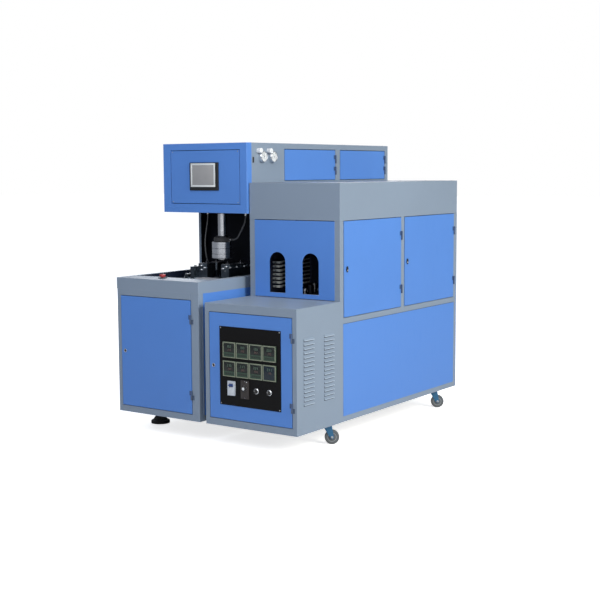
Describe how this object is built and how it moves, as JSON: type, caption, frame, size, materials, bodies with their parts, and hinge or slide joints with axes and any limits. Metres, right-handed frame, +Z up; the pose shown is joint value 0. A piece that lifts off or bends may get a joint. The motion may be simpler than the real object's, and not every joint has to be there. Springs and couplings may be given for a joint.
{
  "type": "stretch blow moulding machine",
  "caption": "Semi-automatic stretch blow moulding machine: mould clamp under a blow head with its screen, lamp oven with a preform chain, and a control cabinet, on feet and castors.",
  "frame": {"origin": "on the floor, under the middle of the whole machine's box", "axes": "+Z up, -Y towards the operator, +X to the operator's right"},
  "size_m": [1.426, 2.248, 1.855],
  "materials": {
    "blue_paint": "satin",
    "grey_paint": "satin",
    "dark_paint": "satin",
    "zinc": "satin",
    "steel": "brushed",
    "bright": "polished",
    "mould_alu": "milled",
    "iron": "matt",
    "hose_black": "matt",
    "tread": "matt",
    "castor_blue": "gloss",
    "white_plastic": "satin",
    "yellow_plastic": "satin",
    "meter_green": "satin",
    "black_plastic": "matt",
    "grey_plastic": "matt",
    "blue_plastic": "gloss",
    "red_plastic": "gloss",
    "screen": "gloss",
    "quartz": "clear",
    "gauge_face": "gloss"
  },
  "bodies": {
    "machine": {"clamp_frame": "grey_paint", "clamp_panels": "blue_paint", "deck_tray": "grey_paint", "levelling_feet": "hose_black", "clamp_end_plates": "iron", "tie_bars": "bright", "pneumatic_cylinders": "mould_alu", "tower_shell": "grey_paint", "head_body": "grey_paint", "head_hood": "blue_paint", "stretch_cylinder": "mould_alu", "blow_tube": "steel", "blow_collar": "black_plastic", "blow_barrel": "bright", "hose_left": "hose_black", "hose_right": "hose_black", "pressure_gauges": "gauge_face", "oven_frame": "grey_paint", "oven_header": "grey_paint", "oven_front_panel": "blue_paint", "oven_panels": "blue_paint", "unit_couplings": "zinc", "control_cabinet": "grey_paint", "lamp_racks": "steel", "quartz_lamps": "white_plastic", "oven_bed": "zinc", "chain_loop": "steel", "drive_motor": "iron", "rear_inlets": "steel", "component_plate": "zinc", "door_hinges": "zinc"},
    "clamp_door": {"clamp_door": "blue_paint"},
    "control_door": {"control_door": "blue_paint", "control_plate": "dark_paint", "temp_meters": "meter_green", "panel_devices": "grey_plastic"},
    "oven_door_front": {"oven_door_front": "blue_paint"},
    "oven_door_rear": {"oven_door_rear": "blue_paint"},
    "upper_door_front": {"upper_door_front": "blue_paint"},
    "upper_door_rear": {"upper_door_rear": "blue_paint"},
    "hmi_panel": {"hmi_panel": "blue_paint", "touch_screen": "black_plastic"},
    "left_mould": {"left_mould": "iron"},
    "right_mould": {"right_mould": "iron"},
    "lift_plug": {"lift_plug": "steel"},
    "blow_nozzle": {"blow_nozzle": "steel"},
    "stretch_rod": {"stretch_rod": "bright"},
    "front_sprocket": {"front_sprocket": "iron"},
    "rear_sprocket": {"rear_sprocket": "iron"},
    "regulator_knob_front": {"regulator_knob_front": "white_plastic"},
    "regulator_knob_rear": {"regulator_knob_rear": "white_plastic"},
    "estop_button": {"estop_button": "red_plastic"},
    "breaker_toggle": {"breaker_toggle": "blue_plastic"},
    "speed_knob": {"speed_knob": "black_plastic"},
    "selector_left": {"selector_left": "black_plastic"},
    "selector_right": {"selector_right": "black_plastic"},
    "castor_fork_front": {"castor_fork_front": "castor_blue"},
    "castor_fork_rear": {"castor_fork_rear": "castor_blue"},
    "castor_wheel_front": {"castor_wheel_front": "tread"},
    "castor_wheel_rear": {"castor_wheel_rear": "tread"}
  },
  "joints": [
    {"name": "clamp_door_hinge", "type": "hinge", "parent": "machine", "child": "clamp_door", "pos_m": [-0.095, -1.102, 0.529], "axis": [0, 0, 1], "range_deg": [0, 110]},
    {"name": "control_door_hinge", "type": "hinge", "parent": "machine", "child": "control_door", "pos_m": [0.669, -1.102, 0.501], "axis": [0, 0, 1], "range_deg": [0, 110]},
    {"name": "oven_door_front_hinge", "type": "hinge", "parent": "machine", "child": "oven_door_front", "pos_m": [0.708, 0.102, 1.074], "axis": [0, 0, 1], "range_deg": [0, 110]},
    {"name": "oven_door_rear_hinge", "type": "hinge", "parent": "machine", "child": "oven_door_rear", "pos_m": [0.708, 0.84, 1.074], "axis": [0, 0, 1], "range_deg": [0, 110]},
    {"name": "upper_door_front_hinge", "type": "hinge", "parent": "machine", "child": "upper_door_front", "pos_m": [0.018, 0.366, 1.7135], "axis": [0, 0, 1], "range_deg": [0, 110]},
    {"name": "upper_door_rear_hinge", "type": "hinge", "parent": "machine", "child": "upper_door_rear", "pos_m": [0.018, 1.039, 1.7135], "axis": [0, 0, 1], "range_deg": [0, 110]},
    {"name": "hmi_hinge", "type": "hinge", "parent": "machine", "child": "hmi_panel", "pos_m": [-0.613, -0.648, 1.637], "axis": [0, 0, -1], "range_deg": [0, 100]},
    {"name": "left_mould_slide", "type": "slide", "parent": "machine", "child": "left_mould", "axis": [1, 0, 0], "range_m": [0, 0.06]},
    {"name": "right_mould_slide", "type": "slide", "parent": "machine", "child": "right_mould", "axis": [-1, 0, 0], "range_m": [0, 0.06]},
    {"name": "lift_plug_slide", "type": "slide", "parent": "machine", "child": "lift_plug", "axis": [0, 0, 1], "range_m": [0, 0.025]},
    {"name": "blow_nozzle_slide", "type": "slide", "parent": "machine", "child": "blow_nozzle", "axis": [0, 0, -1], "range_m": [0, 0.022]},
    {"name": "stretch_rod_slide", "type": "slide", "parent": "machine", "child": "stretch_rod", "axis": [0, 0, -1], "range_m": [0, 0.24]},
    {"name": "front_sprocket_spin", "type": "hinge", "parent": "machine", "child": "front_sprocket", "pos_m": [0.3595, -0.456, 0.9], "axis": [0, 0, 1], "continuous": true},
    {"name": "rear_sprocket_spin", "type": "hinge", "parent": "machine", "child": "rear_sprocket", "pos_m": [0.3595, 0.687, 0.9], "axis": [0, 0, 1], "continuous": true},
    {"name": "regulator_front_turn", "type": "hinge", "parent": "machine", "child": "regulator_knob_front", "pos_m": [0.012, -0.534, 1.804], "axis": [1, 0, 0], "range_deg": [0, 1080]},
    {"name": "regulator_rear_turn", "type": "hinge", "parent": "machine", "child": "regulator_knob_rear", "pos_m": [0.012, -0.426, 1.804], "axis": [1, 0, 0], "range_deg": [0, 1080]},
    {"name": "estop_press", "type": "slide", "parent": "machine", "child": "estop_button", "axis": [0, 0, -1], "range_m": [0, 0.005], "stiffness_N_per_m": 1200, "springref_m": -0.002},
    {"name": "breaker_tilt", "type": "hinge", "parent": "control_door", "child": "breaker_toggle", "pos_m": [0.226, -1.107, 0.39], "axis": [1, 0, 0], "range_deg": [-20, 20]},
    {"name": "speed_knob_turn", "type": "hinge", "parent": "control_door", "child": "speed_knob", "pos_m": [0.325, -1.104, 0.38], "axis": [0, -1, 0], "range_deg": [0, 270]},
    {"name": "selector_left_turn", "type": "hinge", "parent": "control_door", "child": "selector_left", "pos_m": [0.411, -1.104, 0.372], "axis": [0, -1, 0], "range_deg": [-45, 45]},
    {"name": "selector_right_turn", "type": "hinge", "parent": "control_door", "child": "selector_right", "pos_m": [0.507, -1.104, 0.372], "axis": [0, -1, 0], "range_deg": [-45, 45]},
    {"name": "castor_front_swivel", "type": "hinge", "parent": "machine", "child": "castor_fork_front", "pos_m": [0.637, -0.681, 0.12], "axis": [0, 0, 1], "continuous": true},
    {"name": "castor_rear_swivel", "type": "hinge", "parent": "machine", "child": "castor_fork_rear", "pos_m": [0.637, 0.674, 0.12], "axis": [0, 0, 1], "continuous": true},
    {"name": "castor_front_roll", "type": "hinge", "parent": "castor_fork_front", "child": "castor_wheel_front", "pos_m": [0.65994, -0.66494, 0.045], "axis": [0.5736, -0.8192, 0], "continuous": true},
    {"name": "castor_rear_roll", "type": "hinge", "parent": "castor_fork_rear", "child": "castor_wheel_rear", "pos_m": [0.65994, 0.69006, 0.045], "axis": [0.5736, -0.8192, 0], "continuous": true}
  ],
  "couplings": [
    {"joint": "right_mould_slide", "follows": "left_mould_slide", "ratio": 1},
    {"joint": "front_sprocket_spin", "follows": "rear_sprocket_spin", "ratio": 1}
  ]
}
